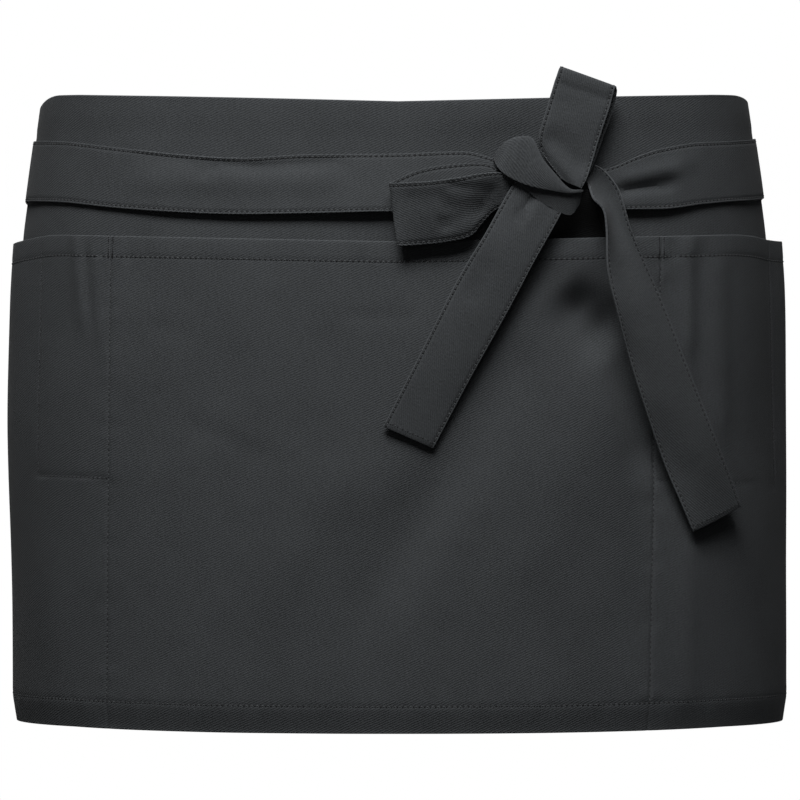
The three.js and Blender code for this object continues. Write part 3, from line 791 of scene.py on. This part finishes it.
def makeTwill(name, angle, colour):
    wires = Wires(name)
    weave = wires.add("UVMap", uv_map="weave").outputs["UV"]
    warp = wires.add("TexNoise", {"Vector": weave, "Scale": twill["warpScale"], "Detail": 2.0,
                                  "Roughness": 0.6})
    bend = wires.add("MixRGB", {"Fac": twill["warpReach"], "Color1": weave,
                                "Color2": warp.outputs["Color"]}, blend_type="ADD").outputs["Color"]
    turned = wires.add("Mapping", {"Vector": bend, "Rotation": (0, 0, math.radians(-angle))})
    ribs = wires.add("TexWave", {
        "Vector": turned.outputs["Vector"],
        "Scale": 2 * math.pi / 20 / twill["pitch"],
        "Distortion": 0.0,
    }, wave_type="BANDS", bands_direction="Y", wave_profile="SIN").outputs["Fac"]
    acrossRib = wires.add("Mapping", {"Vector": turned.outputs["Vector"], "Scale": twill["yarnScale"]})
    yarn = wires.add("TexNoise", {"Vector": acrossRib.outputs["Vector"], "Scale": 1.0, "Detail": 1.0})
    slubMap = wires.add("Mapping", {"Vector": weave, "Scale": twill["slubScale"]})
    slub = wires.add("TexNoise", {"Vector": slubMap.outputs["Vector"], "Scale": 1.0, "Detail": 2.0})
    mottle = wires.add("TexNoise", {"Vector": weave, "Scale": twill["mottleScale"], "Detail": 3.0,
                                    "Roughness": 0.55})
    wear = wires.add("Attribute", attribute_name="wear").outputs["Fac"]
    tone = wires.maths("MULTIPLY", ribs, twill["ribTone"])
    for pattern, share in ((yarn.outputs["Fac"], "yarnTone"), (slub.outputs["Fac"], "slubTone"),
                           (mottle.outputs["Fac"], "mottleTone"), (wear, "wearTone")):
        tone = wires.maths("ADD", tone, wires.maths("MULTIPLY", pattern, twill[share]))
    ramp = wires.add("ValToRGB", {"Fac": tone})
    ramp.color_ramp.elements[0].position = 0.35
    ramp.color_ramp.elements[0].color = (*[c * twill["darkest"] for c in colour], 1)
    ramp.color_ramp.elements[1].position = 1.0
    ramp.color_ramp.elements[1].color = (*[c * twill["lightest"] for c in colour], 1)
    wires.links.new(ramp.outputs["Color"], wires.shader.inputs["Base Color"])
    rough = wires.add("MapRange", {
        "Value": yarn.outputs["Fac"],
        "To Min": twill["roughness"] - twill["roughnessSpread"],
        "To Max": twill["roughness"] + twill["roughnessSpread"],
    })
    wires.links.new(rough.outputs["Result"], wires.shader.inputs["Roughness"])
    height = wires.maths("ADD", wires.maths("MULTIPLY", ribs, 0.5),
                         wires.maths("MULTIPLY", yarn.outputs["Fac"], 0.8))
    height = wires.maths("ADD", height, wires.maths("MULTIPLY", slub.outputs["Fac"], 0.3))
    bump = wires.add("Bump", {"Height": height, "Strength": twill["bump"],
                              "Distance": twill["bumpReach"]})
    wires.links.new(bump.outputs["Normal"], wires.shader.inputs["Normal"])
    wires.shader.inputs["Sheen Weight"].default_value = twill["sheen"]
    wires.shader.inputs["Sheen Roughness"].default_value = 0.45
    wires.shader.inputs["Specular IOR Level"].default_value = twill["specular"]
    return wires.material


def makeThread():
    wires = Wires("seamThread")
    place = wires.add("TexCoord").outputs["Object"]
    fuzz = wires.add("TexNoise", {"Vector": place, "Scale": 1400.0, "Detail": 2.0})
    ramp = wires.add("ValToRGB", {"Fac": fuzz.outputs["Fac"]})
    ramp.color_ramp.elements[0].position = 0.3
    ramp.color_ramp.elements[0].color = (*[c * thread["darkest"] for c in thread["colour"]], 1)
    ramp.color_ramp.elements[1].position = 0.75
    ramp.color_ramp.elements[1].color = (*[c * thread["lightest"] for c in thread["colour"]], 1)
    # a per-bead share mixes in near black: painted shade between the stitches and beside the bar tacks
    dark = wires.add("Attribute", attribute_name="dark").outputs["Fac"]
    blend = wires.add("MixRGB", {"Fac": dark, "Color1": ramp.outputs["Color"],
                                 "Color2": (*thread["paintedShadeBlack"], 1)})
    wires.links.new(blend.outputs["Color"], wires.shader.inputs["Base Color"])
    bump = wires.add("Bump", {"Height": fuzz.outputs["Fac"], "Strength": 0.4, "Distance": 0.0001})
    wires.links.new(bump.outputs["Normal"], wires.shader.inputs["Normal"])
    wires.shader.inputs["Roughness"].default_value = 0.7
    wires.shader.inputs["Sheen Weight"].default_value = 0.05
    wires.shader.inputs["Specular IOR Level"].default_value = twill["specular"]
    return wires.material


print("materials")
clothTwill = makeTwill("clothTwill", twill["panelAngle"], panel["colour"])
strapTwill = makeTwill("strapTwill", twill["strapAngle"], panel["colour"])
seamThread = makeThread()


def spaced(low, high, step, dense):  # even places, with closer ones round each seam
    places = list(np.linspace(low, high, int(round((high - low) / step)) + 1))
    for centre, offsets in dense:
        places = [p for p in places if abs(p - centre) > max(offsets) + step / 3]
        places += [centre + side * offset for offset in offsets for side in (-1, 1)]
    kept = []
    for place in sorted(p for p in places if low <= p <= high):
        if not kept or place - kept[-1] > 0.2:
            kept.append(place)
    kept[0], kept[-1] = low, high
    return kept


def leanTo(along, down):  # columns beside a slanting seam lean with it
    shift = 0
    for k in range(4):
        share = np.clip((down - seamTable["fromDown"][k])
                        / (seamTable["toDown"][k] - seamTable["fromDown"][k]), 0, 1)
        run = (seamTable["toAlong"][k] - seamTable["fromAlong"][k]) * share
        shift = shift + run * ease(1 - np.abs(along - seamTable["fromAlong"][k]) / pocket["leanReach"])
    return along + shift


nearSeam = (0.0, 0.5, 1.0, 1.6, 2.4, 3.6)
halfCloth = hip["panelWidth"] / 2
height = hip["apronHeight"]

print("panel")
panelUs = spaced(-halfCloth, halfCloth, panel["step"], [])
nearEdge = (0.0, 0.6, 1.4, 2.6)
panelVs = spaced(0, height, panel["rowStep"], [(0, nearEdge), (height, nearEdge)])[::-1]


def fromEdge(along, down):  # distance in from the nearest edge of the panel
    return np.minimum(np.minimum(down, height - down), halfCloth - np.abs(along))


def hemShare(inside, cloth):  # the wall as a share of the hem's, by the distance from the edge
    hemmed = 1 - ease((inside - panel["hem"] + 1) / 2)
    return mix(cloth["wall"], cloth["hemWall"], hemmed) / cloth["hemWall"]


def panelHem(along, down):
    return hemShare(fromEdge(along, down), panel)


def panelWear(along, down):
    return np.exp(-fromEdge(along, down) / 1.2)


panelCloth = makeSheet("panel_cloth", panelUs, panelVs, panelPoint, clothTwill,
                       panel["hemWall"], thick=panelHem, wearOf=panelWear)
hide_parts("apron_panel")

print("pocket")
pocketUs = spaced(-halfCloth, halfCloth, pocket["step"],
                  [(seamTable["fromAlong"][k], nearSeam) for k in range(4)])
pocketVs = spaced(pocket["drop"], height, pocket["rowStep"], [
    (pocket["drop"], (0.0, 0.5, 1.2, 2.4)),
    (pocket["drop"] + pocket["mouthHem"], (0.0, 0.5, 1.0, 1.8, 3.0)),
    (pocket["sideFloor"], (0.0, 1.0, 2.0)),
    (height - panel["hem"], (0.0, 0.5, 1.0, 1.8, 3.0)),
    (height, (0.0, 0.6, 1.4)),
])[::-1]


def pocketPlace(u, v):  # grid place to place along and below the top edge
    down = v + (mouthDown(u) - pocket["drop"]) * (1 - ease((v - pocket["drop"]) / 60))
    return leanTo(u, down), down


def pocketHem(u, v):
    along, down = pocketPlace(u, v)
    fromBack = np.minimum(height - down, halfCloth - np.abs(along))
    return hemShare(np.minimum(down - mouthDown(along) + 5, fromBack), pocket)


def pocketWear(u, v):
    along, down = pocketPlace(u, v)
    return np.exp(-np.minimum(down - mouthDown(along), height - down) / 1.2)


pocketCloth = makeSheet(
    "pocket_cloth", pocketUs, pocketVs, lambda u, v: pocketPoint(*pocketPlace(u, v)), clothTwill,
    pocket["hemWall"], thick=pocketHem, wearOf=pocketWear,
    uvOf=lambda u, v: np.stack([pocketPlace(u, v)[0], -pocketPlace(u, v)[1]], axis=-1))
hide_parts("pocket_layer")


print("ties")
acrossShares = [0, 0.02, 0.035, 0.05, 0.07, 0.11, 0.18, 0.28, 0.39, 0.5]
acrossShares = acrossShares + [1 - share for share in acrossShares[-2::-1]]


def strapThick(share):  # the stitched edges are pressed flatter than the middle
    inside = np.minimum(share, 1 - share)
    return 1 - 0.5 * np.exp(-((inside - 0.045) / 0.016)**2) - 0.12 * np.exp(-(inside / 0.012)**2)


def strapWear(share):
    return np.exp(-np.minimum(share, 1 - share) / 0.02)


strapForm = {"thick": lambda u, v: strapThick(v), "wearOf": lambda u, v: strapWear(v)}


def makeTie(name, node, side, table, crossLayers, end, creases):
    rows = tieRows(side, table, crossLayers, end)
    count = len(rows["steps"])

    def pointsOf(u, v):
        i = np.rint(u).astype(int)
        return tiePoint(rows, i, v, creases)

    def uvOf(u, v):
        i = np.rint(u).astype(int)
        along = rows["steps"][i] * (-side)
        return np.stack([along, -v * tie["width"]], axis=-1)

    us = list(range(count)) if side < 0 else list(range(count))[::-1]
    vs = acrossShares[::-1]
    piece = makeSheet(name, us, vs, pointsOf, strapTwill, tie["wall"], uvOf=uvOf, **strapForm)
    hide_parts(node)
    return piece, rows


leftTie, leftRows = makeTie("tie_left_strap", "tie_left", -1, leftTieTable, 1, -0.2, leftTieCreases)
rightTie, rightRows = makeTie("tie_right_strap", "tie_right", 1, rightTieTable, 0, 0.19, rightTieCreases)


print("bow")


def makeStrip(name, node, table, reach, creases, frontFrom=0):
    strip = {"table": table, "reach": bow[reach], "creases": creases, "frontFrom": frontFrom}
    last = len(table["along"]) - 1
    places = np.linspace(0, last, last * bow["rowsPerStation"] + 1)
    middle = stripPoint(strip, places, np.zeros(len(places)))
    length = np.concatenate([[0], np.cumsum(np.linalg.norm(np.diff(middle, axis=0), axis=1))])

    def uvOf(u, v):
        return np.stack([np.interp(u, places, length), (v - 0.5) * tie["width"]], axis=-1)

    piece = makeSheet(name, places, acrossShares, lambda u, v: stripPoint(strip, u, v - 0.5),
                      strapTwill, bow["wall"], uvOf=uvOf, **strapForm)
    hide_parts(node)
    strip.update(piece=piece, last=last, flat=(tie["width"] * 0.001, float(length[-1]) * 0.001))
    return strip


leftLoop = makeStrip("loop_left_strap", "bow_loop_left", leftLoopTable, "leftLoopReach",
                     leftLoopCreases, frontFrom=9)
upperLoop = makeStrip("loop_upper_strap", "bow_loop_upper", upperLoopTable, "upperLoopReach",
                      upperLoopCreases, frontFrom=9)
leftTail = makeStrip("tail_left_strap", "tail_left", leftTailTable, "leftTailReach", leftTailCreases)
rightTail = makeStrip("tail_right_strap", "tail_right", rightTailTable, "rightTailReach",
                      rightTailCreases)


def makeWrap(name, facet):
    places = np.linspace(0, len(wrapTable["a1"]) - 1, bow["wrapRows"])
    shares = np.linspace(1, 0, bow["wrapColumns"])
    return makeSheet(name, places, shares, lambda u, v: wrapPoint(u, v, facet=facet),
                     strapTwill, bow["wall"], uvOf=lambda u, v: np.stack([u * 6.0, v * 16.0], axis=-1),
                     wearOf=lambda u, v: np.exp(-np.minimum(v, 1 - v) / 0.05))


wrapUpper = makeWrap("knot_wrap_strap", False)
wrapFacet = makeWrap("knot_facet_strap", True)
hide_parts("knot_wrap")

inner = {  # corners of the turn of tie inside the knot: along, up and out
    "leftTop": (66, -8, 9.3),
    "rightTop": (93, -3, 8),
    "leftBottom": (70, -29, 2.4),
    "rightBottom": (103, -28, 2.4),
    "shade": 0.05,  # painted shade: its colour as a share of the cloth's
}


def innerPoint(u, v):  # seen only in the deep shade under the knot, its colour near black as painted shade
    top = [mix(a, b, u) for a, b in zip(inner["leftTop"], inner["rightTop"])]
    low = [mix(a, b, u) for a, b in zip(inner["leftBottom"], inner["rightBottom"])]
    out = mix(top[2], low[2], ease(v / 0.9))
    return placeAt(mix(top[0], low[0], v), mix(top[1], low[1], v), out)


# a near-black copy of the strap twill: painted shade under the knot
paintedShadeTwill = makeTwill("paintedShadeTwill", twill["strapAngle"], [c * inner["shade"] for c in panel["colour"]])
innerStrap = makeSheet("knot_inner_strap", np.linspace(0, 1, 25), np.linspace(1, 0, 25), innerPoint,
                       paintedShadeTwill, bow["wall"], uvOf=lambda u, v: np.stack([u * 26.0, v * 28.0], axis=-1))


print("stitches")


def stitchPiece(name, sewing, *given):
    sewn = {"points": [], "faces": [], "count": 0, "dark": []}
    sewing(sewn, *given)
    mesh = bpy.data.meshes.new(name)
    mesh.from_pydata(np.concatenate(sewn["points"]).tolist(), [], sewn["faces"])
    mesh.attributes.new("dark", "FLOAT", "POINT").data.foreach_set("value", sewn["dark"])
    return addPiece(name, mesh, seamThread)


def sewCloth(sewn, pointOf, along, down, size):
    points = pointOf(along, down)
    normals = pointOf(along, down, lift=1.0) - points
    sewInto(sewn, points, normals, size)


tack = {
    "seamStart": 14.0,  # where the seam's stitches start under it, from the mouth
    "from": 0.8,
    "to": 12.0,
    "aside": 1.35,  # rows of beads painted nearly black beside it as painted shade, this far from its middle
    "bar": {"pitch": 0.55, "length": 1.5, "width": 0.5, "turn": math.pi / 2},
    "edge": {"pitch": 1.0, "length": 1.2, "width": 1.0, "turn": 0.0, "dark": 1},
}
seamLong = 240.0  # the two long seams, in millimetres


def seamPlaces(k, t):
    return (mix(seamTable["fromAlong"][k], seamTable["toAlong"][k], t),
            mix(seamTable["fromDown"][k], seamTable["toDown"][k], t))


def sewPocket(sewn):
    size = stitchSize(pocket["wall"])
    hemSize = stitchSize(pocket["hemWall"])
    for k in range(6):
        start = tack["seamStart"] / seamLong if k < 2 else 0
        sewCloth(sewn, pocketPoint, *seamPlaces(k, np.linspace(start, 1, 400)), size)
    along = np.linspace(-halfCloth + 3, halfCloth - 3, 1500)
    sewCloth(sewn, pocketPoint, along, mouthDown(along) + pocket["mouthHem"], hemSize)
    sewCloth(sewn, pocketPoint, along, height - panel["hem"] + 0 * along, hemSize)
    for side in (-1, 1):  # the bands that run up the back edges
        down = np.linspace(mouthDown(halfCloth) + 2, height - 2, 500)
        sewCloth(sewn, pocketPoint, side * (halfCloth - panel["backBand"]) + 0 * down, down, hemSize)
    for k in range(2):
        along, down = seamPlaces(k, np.linspace(tack["from"] / seamLong, tack["to"] / seamLong, 60))
        sewCloth(sewn, pocketPoint, along, down, stitchSize(pocket["hemWall"], **tack["bar"]))
        for side in (-1, 1):
            sewCloth(sewn, pocketPoint, along + side * tack["aside"], down,
                     stitchSize(pocket["hemWall"], **tack["edge"]))


def sewPanel(sewn):
    size = stitchSize(panel["hemWall"])
    along = np.linspace(-halfCloth + 3, halfCloth - 3, 1500)
    sewCloth(sewn, panelPoint, along, height - panel["hem"] + 0 * along, size)
    for side in (-1, 1):
        down = np.linspace(2, height - 2, 500)
        sewCloth(sewn, panelPoint, side * (halfCloth - panel["backBand"]) + 0 * down, down, size)


edgeShares = (tie["seamInset"] / tie["width"], 1 - tie["seamInset"] / tie["width"])
pressedShare = 0.8  # of a strap's wall is left at its stitched edges


def sewTie(sewn, rows, creases):
    i = np.arange(len(rows["steps"]))
    for share in edgeShares:
        points = tiePoint(rows, i, share, creases)
        normals = tiePoint(rows, i, share, creases, lift=1.0) - points
        sewInto(sewn, points, normals, stitchSize(tie["wall"] * pressedShare))


def sewStrip(sewn, strip, ends=()):
    def sewAlong(places, t, wall):
        alongRun = stripPoint(strip, places + 0.01, t) - stripPoint(strip, places - 0.01, t)
        acrossRun = stripPoint(strip, places, t + 0.01) - stripPoint(strip, places, t - 0.01)
        normals = unit(np.cross(alongRun, acrossRun))
        sewInto(sewn, stripPoint(strip, places, t), normals, stitchSize(wall))

    places = np.linspace(0.02, strip["last"] - 0.02, 600)
    for share in edgeShares:
        sewAlong(places, np.full(len(places), share - 0.5), bow["wall"] * pressedShare)
    t = np.linspace(-0.46, 0.46, 60)
    for inset in ends:  # the rows that close a tail's end
        sewAlong(np.full(len(t), strip["last"] - inset), t, bow["wall"])


pocketStitches = stitchPiece("pocket_stitches", sewPocket)
panelStitches = stitchPiece("panel_stitches", sewPanel)
leftTieStitches = stitchPiece("tie_left_stitches", sewTie, leftRows, leftTieCreases)
rightTieStitches = stitchPiece("tie_right_stitches", sewTie, rightRows, rightTieCreases)
leftLoopStitches = stitchPiece("loop_left_stitches", sewStrip, leftLoop)
upperLoopStitches = stitchPiece("loop_upper_stitches", sewStrip, upperLoop)
leftTailStitches = stitchPiece("tail_left_stitches", sewStrip, leftTail, [0.07])
rightTailStitches = stitchPiece("tail_right_stitches", sewStrip, rightTail, [0.06])


print("studio")
studio = {
    "aim": (0.001, 0.0, -0.1125),
    "distance": 6.0,
    "elevation": 3.0,
    "lens": 540.0,
    "floorDrop": 0.95,
    "floorSize": 3.5,
    "floorTone": 0.8,
    "ambient": 0.018,
    "lights": (  # name, place, size and watts
        ("keyLight", (-0.36, -1.25, 2.0), 0.9, 64),
        ("sideLight", (0.4, -1.2, 2.1), 0.9, 24),
        ("backLight", (0.0, 2.4, 1.5), 1.5, 45),
        ("frontLight", (-0.1, -3.4, 0.6), 1.6, 2.5),
    ),
}


def makeStudio():
    scene = bpy.context.scene
    scene.view_settings.view_transform = "Standard"
    bm = bmesh.new()
    bmesh.ops.create_grid(bm, x_segments=1, y_segments=1, size=studio["floorSize"])
    for vert in bm.verts:
        vert.co.z = -studio["floorDrop"]
    mesh = bpy.data.meshes.new("floor")
    bm.to_mesh(mesh)
    bm.free()
    floor = bpy.data.objects.new("floor", mesh)
    wires = Wires("paleFloor")
    wires.shader.inputs["Base Color"].default_value = (*[studio["floorTone"]] * 3, 1)
    wires.shader.inputs["Roughness"].default_value = 0.8
    mesh.materials.append(wires.material)
    scene.collection.objects.link(floor)
    floor.visible_diffuse = False  # it sends no light back up on the cloth

    aim = Vector(studio["aim"])
    for name, place, size, power in studio["lights"]:
        light = bpy.data.lights.new(name, "AREA")
        light.shape = "SQUARE"
        light.size = size
        light.energy = power
        lamp = bpy.data.objects.new(name, light)
        lamp.location = place
        lamp.rotation_euler = (aim - Vector(place)).to_track_quat("-Z", "Y").to_euler()
        scene.collection.objects.link(lamp)

    world = bpy.data.worlds.new("paleRoom")
    world.use_nodes = True
    scene.world = world
    nodes, links = world.node_tree.nodes, world.node_tree.links
    nodes.clear()
    seen = nodes.new("ShaderNodeLightPath")
    level = nodes.new("ShaderNodeMapRange")
    level.inputs["To Min"].default_value = studio["ambient"]
    level.inputs["To Max"].default_value = 1.0
    links.new(seen.outputs["Is Camera Ray"], level.inputs["Value"])
    glow = nodes.new("ShaderNodeBackground")
    glow.inputs["Color"].default_value = (1, 1, 1, 1)
    links.new(level.outputs["Result"], glow.inputs["Strength"])
    links.new(glow.outputs["Background"], nodes.new("ShaderNodeOutputWorld").inputs["Surface"])

    tilt = math.radians(studio["elevation"])
    camera = bpy.data.cameras.new("camera")
    camera.lens = studio["lens"]
    camera.sensor_width = 36
    camera.clip_end = 40
    eye = bpy.data.objects.new("camera", camera)
    eye.location = aim + Vector((0, -math.cos(tilt), math.sin(tilt))) * studio["distance"]
    eye.rotation_euler = (math.pi / 2 - tilt, 0, 0)
    scene.collection.objects.link(eye)
    scene.camera = eye


makeStudio()
